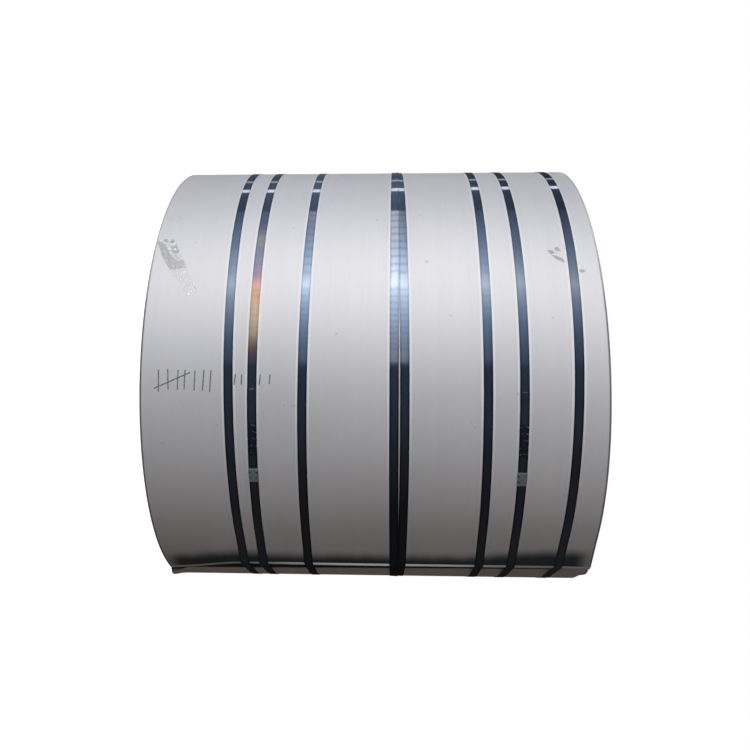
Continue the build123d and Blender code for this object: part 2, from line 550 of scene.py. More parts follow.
def make_seal(index, row):
    """Crimped sleeve round the lap, with two notches in each side."""
    seal_angle = row[4]
    centre, base = round_at(seal_angle)
    half = HALF + SEAL_ROOM + SEAL_THICK
    top = STRAP_LIFT + 2 * STRAP_THICK + SEAL_ROOM + SEAL_THICK
    vertices, faces, pressed = [], [], []
    rings = []
    count = 80
    # Outer face across the seal, from foot to foot: share of its half width, drop from its top
    corner = [(1, None), (1, 0.0011), (0.985, 0.0004), (0.95, 0.0001)]
    outer = [(-share, drop) for share, drop in corner]
    outer += [(0.2 * k, 0) for k in range(-4, 5)]
    outer += reversed(corner)
    for k in range(count + 1):
        along = SEAL_LENGTH * (k / count - 0.5)
        n = direction(seal_angle + math.degrees(along / base))
        x, y = centre + n * base
        z = band_height(row, x, y, index)
        end_ease = 0.0003 * (k in (0, count))
        off_notch = abs(abs(along) - NOTCH_AT)
        half_here = half - NOTCH_DEPTH * min(1, max(0.0, 1 - off_notch / NOTCH_HALF) * 1.4)
        press = max(0.0, 1 - off_notch / PRESS_HALF)
        ring = []
        for share, drop in outer:
            inward = max(0.0, abs(share) - 0.35) / 0.65
            height = SEAL_ABOVE if drop is None else top - drop - end_ease
            if drop is not None:
                height -= PRESS_DEPTH * press * inward ** 1.3
                height += 0.00012 * noise.noise(Vector((along * 260, share * 3, index * 7.3)))
            ring.append(len(vertices))
            vertices.append((x + n[0] * height, y + n[1] * height, z + share * half_here))
            pressed.append(press * inward)
        for share in (0.93, 0.93, 0.5, 0, -0.5, -0.93, -0.93):
            low = len(ring) in (len(outer), len(outer) + 6)
            height = SEAL_ABOVE if low else top - SEAL_THICK - 0.0004 * press * abs(share)
            ring.append(len(vertices))
            vertices.append((x + n[0] * height, y + n[1] * height, z + share * half_here))
            pressed.append(0.0)
        rings.append(ring)
    sweep(rings, False, vertices, faces)
    thing = new_object(f"strap_seal_{index + 1}", vertices, faces, 32)
    add_attribute(thing, "pressed", pressed)
    return thing


# Tape remnants

LOWER_TAPE = [
    (0.006, 0.385), (0.026, 0.398), (0.050, 0.397), (0.077, 0.345), (0.104, 0.294),
    (0.138, 0.226), (0.117, 0.209), (0.087, 0.247), (0.058, 0.284), (0.033, 0.325),
]
UPPER_TAPE = [
    (0.141, 0.353), (0.111, 0.366), (0.099, 0.345), (0.057, 0.313),
    (0.039, 0.283), (0.055, 0.277), (0.094, 0.311), (0.118, 0.321),
]


# The lower tape is clear below this distance round, and the upper one is clear but for these bits:
# inset, distance round, half length, half width, tilt of the length in degrees
LOWER_CLEAR = 0.290
LOWER_WAVE = [
    (0.014, 0.394), (0.032, 0.380), (0.046, 0.355), (0.055, 0.340), (0.073, 0.323), (0.079, 0.323),
]
LOWER_RING = (0.062, 0.3610, 0.0100)
LOWER_BIT = (0.050, 0.3910, 0.0080)
UPPER_BITS = [
    (0.109, 0.3555, 0.0085, 0.0075, 0), (0.1310, 0.3455, 0.0100, 0.0065, 10),
    (0.112, 0.3225, 0.0195, 0.0075, 32), (0.051, 0.281, 0.0085, 0.0050, 30),
]


def segment_distance(x, y, start, end):
    """Distance of a point from a straight line between two points."""
    along = np.subtract(end, start)
    share = np.clip(np.dot(np.subtract((x, y), start), along) / np.dot(along, along), 0, 1)
    return float(np.hypot(*(np.subtract((x, y), start) - share * along)))


def tape_solid(end, inset, distance):
    """How solid grey a tape is at a place, above 0 inside the grey and below 0 in the clear film."""
    if end == "low":
        solid = (distance - LOWER_CLEAR - 0.16 * (inset - 0.058)) / 0.004
        off = min(segment_distance(inset, distance, a, b) for a, b in zip(LOWER_WAVE, LOWER_WAVE[1:]))
        solid = min(solid, (off - 0.0045) / 0.003)
        beyond = distance - 0.345 + 0.9 * (inset - 0.060)
        if beyond > 0 and inset > 0.034 + 0.5 * max(0.0, 0.380 - distance):
            from_ring = math.hypot(inset - LOWER_RING[0], distance - LOWER_RING[1]) - LOWER_RING[2]
            ring = 1 - abs(from_ring) / 0.0045
            bit = 1 - math.hypot(inset - LOWER_BIT[0], distance - LOWER_BIT[1]) / LOWER_BIT[2]
            solid = min(solid, 2 * max(ring, bit))
        return solid
    best = -1.0
    for a, b, long_half, short_half, tilt in UPPER_BITS:
        c, d = math.cos(math.radians(tilt)), math.sin(math.radians(tilt))
        u, v = (inset - a) * c + (distance - b) * d, -(inset - a) * d + (distance - b) * c
        best = max(best, 2.5 * (1 - math.hypot(u / long_half, v / short_half)))
    return best


def torn_outline(corners, spacing, ragged, chance):
    points = []
    for (a, b), (c, d) in zip(corners, corners[1:] + corners[:1]):
        length = math.hypot(c - a, d - b)
        count = max(1, int(round(length / spacing)))
        for k in range(count):
            f = k / count
            off = chance.uniform(-ragged, ragged) if k else 0
            nx, ny = (d - b) / length, -(c - a) / length
            points.append((a + (c - a) * f + nx * off, b + (d - b) * f + ny * off))
    return points


def inside(point, outline):
    x, y = point
    hit = False
    for (a, b), (c, d) in zip(outline, outline[1:] + outline[:1]):
        if (b > y) != (d > y) and x < (c - a) * (y - b) / (d - b) + a:
            hit = not hit
    return hit


def make_tape(name, corners, end, seed, wrinkle):
    chance = random.Random(seed)
    outline = torn_outline(corners, 0.007, 0.0016, chance)
    spots = list(outline)
    a_all, b_all = [p[0] for p in outline], [p[1] for p in outline]
    step = 0.0032
    a = min(a_all)
    while a < max(a_all):
        b = min(b_all)
        while b < max(b_all):
            spot = (a + chance.uniform(-0.3, 0.3) * step, b + chance.uniform(-0.3, 0.3) * step)
            if inside(spot, outline):
                spots.append(spot)
            b += step
        a += step
    border = [(k, (k + 1) % len(outline)) for k in range(len(outline))]
    flat, _, triangles, _, _, _ = geometry.delaunay_2d_cdt(
        [Vector(p) for p in spots], border, [], 1, 1e-6)
    vertices, faces, solid = [], [], []
    heights = []
    for p in flat:
        inset, distance = p
        z = inset if end == "low" else WIDTH - inset
        rise = math.degrees(distance / RADIUS)
        x, y = -RADIUS * math.sin(math.radians(rise)), -RADIUS * math.cos(math.radians(rise))
        held = 1.0
        for index, row in enumerate(STRAP_ROWS):
            apart = abs(band_height(row, x, y, index) - z)
            held = min(held, float(smooth(apart, 0.0135, 0.026)))
        fold = abs(noise.noise(Vector((inset * 95, distance * 40, seed))))
        crease = abs(noise.noise(Vector((inset * 30 + distance * 120, distance * 25, seed + 5))))
        heights.append(wrinkle * held * (0.6 * (1 - fold) ** 4 + 0.4 * (1 - crease) ** 6))
        solid.append(min(max(tape_solid(end, inset, distance), -1.0), 1.0))
    count = len(flat)
    for layer in (0, 1):
        for p, h in zip(flat, heights):
            inset, distance = p
            z = inset if end == "low" else WIDTH - inset
            n = direction(270 - math.degrees(distance / RADIUS))
            up = 0.00002 + h + 0.00011 * layer
            place = OVER_CENTRE + n * (OVER_RADIUS + up)
            vertices.append((place[0], place[1], z))
    for tri in triangles:
        faces.append(tuple(tri))
        faces.append(tuple(count + i for i in reversed(tri)))
    edges = {}
    for tri in triangles:
        for i, j in zip(tri, list(tri[1:]) + [tri[0]]):
            edges[(min(i, j), max(i, j))] = edges.get((min(i, j), max(i, j)), 0) + 1
    for (i, j), uses in edges.items():
        if uses == 1:
            faces.append((i, j, count + j, count + i))
    thing = new_object(name, vertices, faces, 35)
    add_attribute(thing, "solid", solid + solid)
    return thing


# Materials


class Finish:
    """A node material, built up with short calls. A value is a number or another node's output."""

    def __init__(self, name):
        self.material = bpy.data.materials.new(name)
        self.material.use_nodes = True
        self.tree = self.material.node_tree
        self.tree.nodes.clear()
        self.output = self.tree.nodes.new("ShaderNodeOutputMaterial")

    def node(self, kind, **settings):
        made = self.tree.nodes.new(kind)
        for key, value in settings.items():
            setattr(made, key, value)
        return made

    def put(self, socket, value):
        if isinstance(value, bpy.types.NodeSocket):
            self.tree.links.new(value, socket)
        else:
            socket.default_value = value

    def math(self, operation, *values, clamp=False):
        made = self.node("ShaderNodeMath", operation=operation, use_clamp=clamp)
        for socket, value in zip(made.inputs, values):
            self.put(socket, value)
        return made.outputs[0]

    def times(self, a, b):
        return self.math("MULTIPLY", a, b)

    def plus(self, a, b):
        return self.math("ADD", a, b)

    def minus(self, a, b):
        return self.math("SUBTRACT", a, b)

    def vector(self, operation, *values):
        made = self.node("ShaderNodeVectorMath", operation=operation)
        for socket, value in zip(made.inputs, values):
            self.put(socket, value)
        return made.outputs["Value" if operation in ("LENGTH", "DOT_PRODUCT") else "Vector"]

    def scaled(self, value, share):
        made = self.node("ShaderNodeVectorMath", operation="SCALE")
        self.put(made.inputs[0], value)
        self.put(made.inputs["Scale"], share)
        return made.outputs[0]

    def combine(self, x, y, z):
        made = self.node("ShaderNodeCombineXYZ")
        for socket, value in zip(made.inputs, (x, y, z)):
            self.put(socket, value)
        return made.outputs[0]

    def noise(self, place, scale, detail=3.0, rough=0.55):
        made = self.node("ShaderNodeTexNoise")
        self.put(made.inputs["Vector"], place)
        made.inputs["Scale"].default_value = scale
        made.inputs["Detail"].default_value = detail
        made.inputs["Roughness"].default_value = rough
        return made.outputs["Fac"]

    def ramp(self, value, stops, mode="LINEAR"):
        made = self.node("ShaderNodeValToRGB")
        band = made.color_ramp
        band.interpolation = mode
        while len(band.elements) < len(stops):
            band.elements.new(0.5)
        for element, (place, colour) in zip(band.elements, stops):
            element.position = place
            element.color = (*colour, 1) if hasattr(colour, "__len__") else (colour,) * 3 + (1,)
        self.put(made.inputs["Fac"], value)
        return made.outputs["Color"]

    def spread(self, value, low, high, to_low=0.0, to_high=1.0, soft=False):
        made = self.node("ShaderNodeMapRange",
                         interpolation_type="SMOOTHSTEP" if soft else "LINEAR")
        for socket, number in zip(made.inputs, (value, low, high, to_low, to_high)):
            self.put(socket, number)
        return made.outputs[0]

    def mix(self, factor, a, b, blend="MIX"):
        made = self.node("ShaderNodeMix", data_type="RGBA", blend_type=blend)
        self.put(made.inputs["Factor"], factor)
        self.put(made.inputs[6], a if isinstance(a, bpy.types.NodeSocket) else (*a, 1))
        self.put(made.inputs[7], b if isinstance(b, bpy.types.NodeSocket) else (*b, 1))
        return made.outputs[2]

    def bump(self, height, strength, distance):
        made = self.node("ShaderNodeBump")
        made.inputs["Strength"].default_value = strength
        made.inputs["Distance"].default_value = distance
        self.put(made.inputs["Height"], height)
        return made.outputs[0]

    def principled(self, **values):
        made = self.node("ShaderNodeBsdfPrincipled")
        for key, value in values.items():
            self.put(made.inputs[key.replace("_", " ")], value)
        self.tree.links.new(made.outputs[0], self.output.inputs["Surface"])
        return made

    def place(self):
        """Place on the object, and its x, y and z."""
        where = self.node("ShaderNodeTexCoord").outputs["Object"]
        parts = self.node("ShaderNodeSeparateXYZ")
        self.put(parts.inputs[0], where)
        return where, parts.outputs[0], parts.outputs[1], parts.outputs[2]

    def rise(self, x, y):
        """Distance round from the front in radians, up towards -X."""
        return self.math("ARCTAN2", self.times(x, -1.0), self.times(y, -1.0))


# Marker strokes on the sheet, from and to (height, rise in degrees)
STROKES = [
    ((0.051, 0.2), (0.052, -4.6)), ((0.076, 0.3), (0.078, -4.0)), ((0.104, 0.1), (0.103, -4.1)),
    ((0.123, 0.1), (0.121, -4.0)), ((0.040, -3.9), (0.136, -0.4)),
    ((0.150, 0.0), (0.148, -4.2)), ((0.174, 0.1), (0.171, -4.3)), ((0.193, 0.0), (0.190, -4.6)),
    ((0.259, -0.8), (0.256, -2.9)), ((0.276, -0.9), (0.275, -3.0)),
    ((0.326, -0.9), (0.323, -3.0)), ((0.352, -0.9), (0.350, -2.8)),
]
# Small marks: height, rise in degrees, size in millimetres
SPECKS = [
    (0.634, 39.4, 3.4), (0.763, 41.2, 3.0), (0.774, 26.0, 5.0), (0.528, 8.3, 3.0),
    (0.834, 12.5, 3.2), (0.393, 36.6, 2.6), (0.059, -16.3, 3.0), (0.208, -12.1, 2.6),
    (1.106, 12.0, 3.0), (1.222, 47.4, 2.6), (0.496, 47.6, 2.6), (1.006, -4.7, 3.2),
    (0.894, -12.2, 2.8), (0.886, -11.1, 2.2), (0.118, 31.9, 2.6), (0.112, -6.8, 2.2),
    (0.390, -7.6, 2.4), (0.415, -7.6, 2.6), (0.961, -5.8, 2.2), (1.160, -25.4, 2.6),
    (1.022, 17.9, 2.4), (0.707, -25.5, 2.4),
]
# Tint of the painted shade low on the round, and how bright the painted light beside the straps' edges
# is
LOW_SHADE_TINT = (0.62, 0.58, 0.55)
STRAP_EDGE_LIGHT = (1.1, 1.3)
# Faint smudge: height, rise in degrees
SMUDGE = (0.047, 40.4)


def strap_distance(f, x, y, z, rise):
    """How far a place on the round is from the middle line of the nearest strap."""
    degrees_round = f.times(rise, 180 / math.pi)
    drawn = f.times(f.minus(1.0, f.math("COSINE", rise)), PAIR_DRAW)
    drawn = f.times(drawn, f.spread(degrees_round, 70, 150, 1, 0, soft=True))
    drawn = f.times(drawn, f.spread(degrees_round, -125, -55, soft=True))
    nearest, pair = None, []
    for index, (share, pitches, across, front, _) in enumerate(STRAP_ROWS):
        off = f.minus(z, MIDDLE * (1 + share) + pitches * STRAP_PITCH)
        off = f.plus(off, f.times(x, math.tan(math.radians(across))))
        off = f.plus(off, f.times(y, math.tan(math.radians(front))))
        if index in (3, 4):
            off = f.math("SUBTRACT" if index == 3 else "ADD", off, drawn)
            pair.append(off)
        off = f.math("ABSOLUTE", off)
        nearest = off if nearest is None else f.math("MINIMUM", nearest, off)
    between = f.math("ABSOLUTE", f.times(f.plus(*pair), 0.5))
    return f.plus(nearest, f.spread(between, 0.008, 0.006, 0.0, 0.01))


def sheet_finish():
    f = Finish("sheet_side")
    where, x, y, z = f.place()
    rise = f.rise(x, y)
    lines = f.combine(f.times(x, 1.6), f.times(y, 1.6), f.times(z, 420.0))
    bands = f.combine(f.times(x, 0.5), f.times(y, 0.5), f.times(z, 46.0))
    grain = f.noise(lines, 1.0, 3.0)
    band = f.noise(bands, 1.0, 3.0)
    cloud = f.noise(where, 2.6, 3.0)
    tone = f.plus(f.times(grain, 0.10), f.times(band, 0.06))
    tone = f.plus(tone, f.times(cloud, 0.10))
    tone = f.plus(tone, 0.87)
    colour = f.mix(1.0, (0.632, 0.614, 0.619), f.combine(tone, tone, tone), "MULTIPLY")
    # Painted shade: the round turns darker and warmer towards the bottom, and plain again round the back
    low_shade = f.times(f.spread(rise, math.radians(-12), math.radians(-62), soft=True),
                    f.spread(rise, -math.pi, math.radians(-75)))
    colour = f.mix(low_shade, colour, f.mix(1.0, colour, LOW_SHADE_TINT, "MULTIPLY"))
    # Painted light in a narrow band along each strap's edges, lifting the shade beside the straps,
    # strongest near the front
    beside_strap = f.spread(strap_distance(f, x, y, z, rise), 0.0192, 0.0176)
    off_front = f.math("ABSOLUTE", f.plus(rise, math.radians(6)))
    bright = f.spread(off_front, math.radians(22), 0.0, *STRAP_EDGE_LIGHT)
    colour = f.mix(beside_strap, colour, f.scaled(colour, bright))
    inset = f.math("MINIMUM", z, f.minus(WIDTH, z))
    # Darker band along both ends of the round, stronger towards the bottom
    edge_tone = f.spread(f.plus(inset, f.times(f.noise(where, 60.0, 3.0), 0.0018)), 0.0068, 0.0050)
    lower = f.spread(rise, math.radians(34), math.radians(14), 0.25, 0.85)
    colour = f.mix(f.times(edge_tone, lower), colour, (0.11, 0.11, 0.12))

    arc = f.times(rise, RADIUS)
    spot = f.combine(z, arc, 0.0)
    ink = None
    for (z1, r1), (z2, r2) in STROKES:
        a = Vector((z1, math.radians(r1) * RADIUS, 0))
        b = Vector((z2, math.radians(r2) * RADIUS, 0))
        along = (b - a).normalized()
        off = f.vector("SUBTRACT", spot, a)
        run = f.math("MINIMUM", f.math("MAXIMUM", f.vector("DOT_PRODUCT", off, along), 0.0),
                     (b - a).length)
        far = f.vector("LENGTH", f.vector("SUBTRACT", off, f.scaled(along, run)))
        ink = far if ink is None else f.math("MINIMUM", ink, far)
    rough_edge = f.times(f.minus(f.noise(where, 380.0, 2.0), 0.5), 0.0016)
    ink = f.spread(f.plus(ink, rough_edge), 0.0021, 0.0012)
    ink = f.times(ink, f.spread(f.noise(where, 160.0, 2.0), 0.3, 0.6, 0.55, 0.85))
    specks = None
    for z1, r1, size in SPECKS:
        off = f.vector("SUBTRACT", spot, Vector((z1, math.radians(r1) * RADIUS, 0)))
        near = f.math("DIVIDE", f.vector("LENGTH", off), size / 1000)
        specks = near if specks is None else f.math("MINIMUM", specks, near)
    specks = f.times(f.spread(specks, 1.4, 0.4), 0.42)
    off = f.vector("SUBTRACT", spot, Vector((SMUDGE[0], math.radians(SMUDGE[1]) * RADIUS, 0)))
    off = f.vector("DIVIDE", off, Vector((0.036, 0.015, 1.0)))
    curl = f.math("ABSOLUTE", f.minus(f.noise(where, 55.0, 1.0), 0.5))
    curl = f.times(f.spread(curl, 0.05, 0.015), f.spread(f.vector("LENGTH", off), 1.1, 0.8))
    colour = f.mix(f.times(curl, 0.2), colour, (0.36, 0.35, 0.35))
    colour = f.mix(specks, colour, (0.30, 0.27, 0.27))
    colour = f.mix(ink, colour, (0.055, 0.057, 0.065))

    # Painted dark reflection in a band before the tail's edge, the edge with a painted highlight, and
    # painted shadow and tint on the turn below
    run = f.node("ShaderNodeAttribute", attribute_name="along_tail").outputs["Fac"]
    past = f.node("ShaderNodeAttribute", attribute_name="past_lift").outputs["Fac"]
    waver = f.times(f.minus(f.noise(bands, 0.35, 2.0), 0.5), 0.016)
    from_run = f.plus(f.spread(z, 0.26, 0.34, 0.078, 0.086, soft=True),
                      f.spread(z, 0.85, 1.12, 0.0, -0.028, soft=True))
    # Painted dark reflection of the ground under the coil, in a band before the tail's edge that fades
    # near the ends
    dark_band = f.spread(f.minus(f.plus(run, waver), from_run), 0.0, 0.056, soft=True)
    dark_band = f.times(dark_band, f.spread(inset, 0.0, 0.05, 0.25, 1.0, soft=True))
    colour = f.mix(dark_band, colour, (0.037, 0.041, 0.045))
    # The tail's cut edge is lighter bare metal, with a painted highlight that is brightest in the middle
    # of the width
    lip = f.spread(f.minus(run, f.spread(z, 0.06, 0.36, 0.161, 0.149)), 0.0, 0.003)
    lip_highlight = f.times(f.spread(z, 0.20, 0.60, 0.1, 1.0, soft=True),
                     f.spread(z, 0.62, 1.15, 1.0, 0.1, soft=True))
    colour = f.mix(lip, colour, f.mix(lip_highlight, (0.15, 0.16, 0.17), (0.70, 0.73, 0.78)))
    below = f.spread(past, 1.5, 3.0)
    closed = f.spread(z, WIDTH - 0.09, WIDTH - 0.03, 0.0, 5.0)
    # Painted shadow, near black, in the gap just under the tail's edge
    shade = f.spread(f.plus(f.plus(past, closed), f.times(z, 2.4)), 22.1, 20.8, soft=True)
    # Painted warm reflection of the ground on the turn below the tail
    ground_tint = f.times(below, f.spread(past, 60.0, 24.0, soft=True))
    colour = f.mix(ground_tint, colour, f.mix(1.0, colour, (1.10, 0.99, 0.91), "MULTIPLY"))
    colour = f.mix(f.times(below, shade), colour, (0.012, 0.012, 0.013))

    rough = f.plus(f.times(grain, 0.06), 0.63)
    rough = f.plus(rough, f.times(cloud, 0.04))
    rough = f.minus(rough, f.times(lip, 0.33))
    height = f.plus(f.times(grain, 0.7), f.times(band, 0.5))
    tangent = f.node("ShaderNodeTangent", direction_type="RADIAL", axis="Z")
    made = f.principled(
        Base_Color=colour, Metallic=f.spread(lip, 0, 1, 0.8, 0.1), Roughness=rough,
        Anisotropic=0.25, Anisotropic_Rotation=0.25, Normal=f.bump(height, 0.08, 0.0004))
    f.put(made.inputs["Tangent"], tangent.outputs[0])
    return f.material


def edge_finish():
    """The ends of the coil, where every turn shows its slit edge."""
    f = Finish("sheet_ends")
    where, x, y, _ = f.place()
    out = f.math("SQRT", f.plus(f.times(x, x), f.times(y, y)))
    angle = f.math("DIVIDE", f.math("ARCTAN2", y, x), math.tau)
    wind = f.minus(f.math("DIVIDE", out, SHEET), angle)
    turn = f.math("FLOOR", f.plus(wind, 0.5))
    share = f.math("FRACT", f.plus(wind, TAIL_AT / 360))
    gap = f.math("ABSOLUTE", f.minus(share, 0.5))
    gap = f.spread(gap, 0.40, 0.49, 0.0, 0.75)
    each = f.noise(f.combine(f.times(turn, 3.71), x, y), 1.0, 2.0)
    group = f.noise(f.combine(f.times(out, 60.0), 0.0, 0.0), 1.0, 3.0)
    fine = f.noise(where, 320.0, 3.0)
    tone = f.plus(f.times(each, 0.35), f.times(group, 0.25))
    tone = f.plus(tone, f.times(fine, 0.15))
    colour = f.ramp(tone, [(0.18, (0.36, 0.35, 0.34)), (0.42, (0.52, 0.51, 0.50)),
                           (0.62, (0.66, 0.65, 0.64))])
    colour = f.mix(gap, colour, (0.055, 0.05, 0.048))
    rough = f.plus(f.times(fine, 0.2), 0.38)
    f.principled(Base_Color=colour, Metallic=1.0, Roughness=rough,
                 Normal=f.bump(fine, 0.25, 0.0003))
    return f.material


# Heat tint on one strap. Each spot has its rise in degrees, how far it reaches down and up, and
# its share. From its middle out it goes through straw, brown and purple to the strap's own blue.
HEAT_SPOTS = [(9.0, 6.0, 14.0, 1.0), (33.0, 5.0, 5.0, 0.3)]
STRAW = (0.45, 0.30, 0.20)
BROWN = (0.25, 0.15, 0.10)
PURPLE = (0.14, 0.09, 0.12)


def strap_finish(name, heated=False, lapped=False):
    f = Finish(name)
    where, x, y, z = f.place()
    rise = f.times(f.rise(x, y), 180 / math.pi)
    across = f.node("ShaderNodeAttribute", attribute_name="across").outputs["Fac"]
    edge = f.spread(f.math("ABSOLUTE", across), 0.50, 0.84, soft=True)
    # Darker strap edges, more so below the front
    edge_tone = f.plus(f.spread(rise, -10, 15, 0.38, 0.80, soft=True),
                  f.spread(rise, -10, -60, 0.0, 0.2))
    streak = f.noise(f.combine(f.times(x, 9.0), f.times(y, 9.0),
                               f.times(z, 500.0)), 1.0, 3.0)
    blotch = f.noise(where, 9.0, 3.0)
    colour = f.ramp(blotch, [(0.3, (0.100, 0.126, 0.168)), (0.7, (0.128, 0.152, 0.196))])
    if heated:
        wobble = f.times(f.minus(f.noise(where, 30.0, 2.0), 0.5), 0.2)
        for middle_rise, below, above, share in HEAT_SPOTS:
            off = f.minus(rise, middle_rise)
            away = f.math("MAXIMUM", f.math("DIVIDE", off, above), f.math("DIVIDE", off, -below))
            away = f.plus(away, wobble)
            tint = f.ramp(away, [(0.15, STRAW), (0.6, BROWN), (0.95, PURPLE)])
            colour = f.mix(f.spread(away, 1.4, 0.9, 0.0, share), colour, tint)
    colour = f.mix(edge, colour, f.scaled(colour, edge_tone))
    # Painted shade on the straps low on the round, under the coil
    low_strap_shade = f.spread(rise, -62, -68)
    colour = f.mix(f.times(low_strap_shade, 0.8), colour, (0.019, 0.019, 0.021))
    tone = f.spread(streak, 0.3, 0.7, 0.88, 1.08)
    colour = f.mix(1.0, colour, f.combine(tone, tone, tone), "MULTIPLY")
    rough = f.plus(f.times(streak, 0.04), 0.04)
    if lapped:
        bend = f.times(f.times(across, across), 0.35)
        marks = None
        for mark in JAW_MARKS:
            off = f.math("ABSOLUTE", f.minus(f.plus(rise, bend), mark))
            line = f.spread(off, 0.17, 0.08)
            marks = line if marks is None else f.math("MAXIMUM", marks, line)
        zone = f.times(f.spread(rise, -11.4, -11.8), f.spread(rise, -19.4, -18.8))
        broken = f.spread(f.noise(where, 240.0, 2.0), 0.5, 0.6)
        marks = f.times(f.times(marks, broken), zone)
        colour = f.mix(f.times(zone, 0.5), colour, (0.02, 0.025, 0.035))
        colour = f.mix(marks, colour, (0.38, 0.42, 0.48))
        rough = f.plus(rough, f.times(marks, 0.4))
    f.principled(Base_Color=colour, Metallic=1.0, Roughness=rough,
                 Normal=f.bump(streak, 0.02, 0.0001))
    return f.material


def seal_finish():
    f = Finish("seal_zinc")
    where = f.place()[0]
    cells = f.node("ShaderNodeTexVoronoi")
    f.put(cells.inputs["Vector"], where)
    cells.inputs["Scale"].default_value = 340.0
    mottle = f.noise(where, 150.0, 3.0)
    fleck = f.node("ShaderNodeSeparateColor")
    f.put(fleck.inputs[0], cells.outputs["Color"])
    tone = f.plus(f.times(fleck.outputs[0], 0.25), mottle)
    colour = f.ramp(tone, [(0.35, (0.34, 0.39, 0.42)), (0.6, (0.50, 0.56, 0.585)),
                           (0.85, (0.66, 0.71, 0.73))])
    pressed = f.node("ShaderNodeAttribute", attribute_name="pressed").outputs["Fac"]
    # Painted shade where the notches press the seal's sides down
    colour = f.mix(f.spread(pressed, 0.04, 0.42, 0.0, 0.72), colour, (0.09, 0.105, 0.12))
    rough = f.plus(f.times(mottle, 0.2), 0.36)
    f.principled(Base_Color=colour, Metallic=1.0, Roughness=rough,
                 Normal=f.bump(mottle, 0.25, 0.0004))
    return f.material


def tape_finish():
    """Torn tape, part grey from wear and part clear film, with painted highlights along creases and
    painted glints.
    """
    f = Finish("tape_worn")
    where, _, _, z = f.place()
    mottle = f.noise(where, 150.0, 4.0, 0.65)
    smear = f.noise(where, 60.0, 3.0)
    # Painted highlights along creases, on the grey tape and on the film
    line = f.math("ABSOLUTE", f.minus(f.noise(where, 75.0, 2.0), 0.5))
    crease = f.spread(line, 0.018, 0.004)
    upper = f.spread(z, 0.6, 0.7)
    # Painted glints on the clear film, none on the upper tape
    glint = f.times(f.spread(f.noise(where, 95.0, 1.0), 0.61, 0.68),
                    f.spread(upper, 0.0, 1.0, 0.8, 0.0))
    tone = f.plus(f.times(mottle, 0.7), f.times(smear, 0.4))
    grey = f.ramp(tone, [(0.36, (0.31, 0.305, 0.32)), (0.46, (0.37, 0.365, 0.38)),
                         (0.66, (0.47, 0.47, 0.475))])
    grey = f.mix(f.times(crease, 0.6), grey, (0.68, 0.68, 0.69))
    # Painted shade: the upper tape is a darker copy of the same grey
    grey = f.mix(upper, grey, f.mix(1.0, grey, (0.70, 0.69, 0.71), "MULTIPLY"))
    solid = f.node("ShaderNodeAttribute", attribute_name="solid").outputs["Fac"]
    ragged = f.times(f.minus(f.noise(where, 190.0, 2.0), 0.5), 0.5)
    solid = f.spread(f.plus(solid, ragged), -0.06, 0.10)
    film = f.mix(f.math("MAXIMUM", crease, glint), (0.70, 0.70, 0.73), (1.0, 1.0, 1.0))
    colour = f.mix(solid, film, grey)
    film_alpha = f.plus(f.math("MAXIMUM", f.times(crease, 0.4), glint), 0.03)
    film_alpha = f.math("MINIMUM", film_alpha, 0.9)
    alpha = f.plus(f.times(f.minus(1.0, film_alpha), solid), film_alpha)
    f.principled(Base_Color=colour, Metallic=0.0, Roughness=0.35, Alpha=alpha,
                 Normal=f.bump(mottle, 0.4, 0.0006))
    return f.material


# Camera
PHOTO_SIZE = 750
FOCAL = 740.95
CENTRE_PX = (356.55, 277.06)
SENSOR = 36.0
CAMERA_TURN = (-0.0396, -0.1095, 0.0027)
CAMERA_PLACE = (0.0513, -3.8693, 0.0489)


def make_camera():
    """Camera of the photograph, where the coil lies on its side: the picture's right is +Z here."""
    yaw, pitch, roll = CAMERA_TURN
    turn_z = np.array(Matrix.Rotation(yaw, 3, "Z"))
    turn_x = np.array(Matrix.Rotation(pitch, 3, "X"))
    turn_r = np.array(Matrix.Rotation(roll, 3, "Z"))
    base = np.array([[1, 0, 0], [0, 0, -1], [0, 1, 0]])
    rows = turn_r @ turn_x @ base @ turn_z
    right, down, forward = [np.array([-r[2], r[1], r[0]]) for r in rows]
    x, y, z = np.array(CAMERA_PLACE) * RADIUS
    data = bpy.data.cameras.new("camera")
    data.sensor_width = SENSOR
    data.lens = FOCAL / PHOTO_SIZE * SENSOR
    data.shift_x = (PHOTO_SIZE / 2 - CENTRE_PX[0]) / PHOTO_SIZE
    data.shift_y = -(PHOTO_SIZE / 2 - CENTRE_PX[1]) / PHOTO_SIZE
    camera = bpy.data.objects.new("camera", data)
    bpy.context.scene.collection.objects.link(camera)
    turn = Matrix([[right[k], -down[k], -forward[k]] for k in range(3)])
    camera.matrix_world = Matrix.Translation((-z, y, x + MIDDLE)) @ turn.to_4x4()
    bpy.context.scene.camera = camera


# Surroundings

# What the metal reflects, by rise in degrees on a screen round the front: dim ground, haze
# over it, a bright opening that fades each way from its middle, and the dim underside of a roof
SURROUND_RADIUS = 5.0
GROUND_LIGHT = (0.09, 0.085, 0.08)
HAZE_LIGHT = (0.17, 0.20, 0.26)
GROUND_ENDS = 3.0
OPENING_RISE = 42.0
OPENING_LEVEL = 6.3
OPENING_COLOUR = (1.0, 0.99, 0.95)
SKY_COLOUR = (0.78, 0.96, 1.20)
FADE_BELOW = 18.0
FADE_ABOVE = 26.0
ROOF_STARTS = 90.0
ROOF_LIGHT = (0.42, 0.52, 0.68)

# A warmer column of light stands in the opening, a little below the coil's middle
COLUMN_HEIGHT = 0.60
COLUMN_LEAN = 0.0025
COLUMN_WIDTH = 0.35
COLUMN_COLOUR = (1.0, 0.78, 0.56)
COLUMN_LEVELS = (0.8, 2.8)

# Narrow lit slits over the roof's edge: rise, half width, level
SLITS = [(112.0, 2.0, 3.0), (126.0, 1.3, 1.0)]

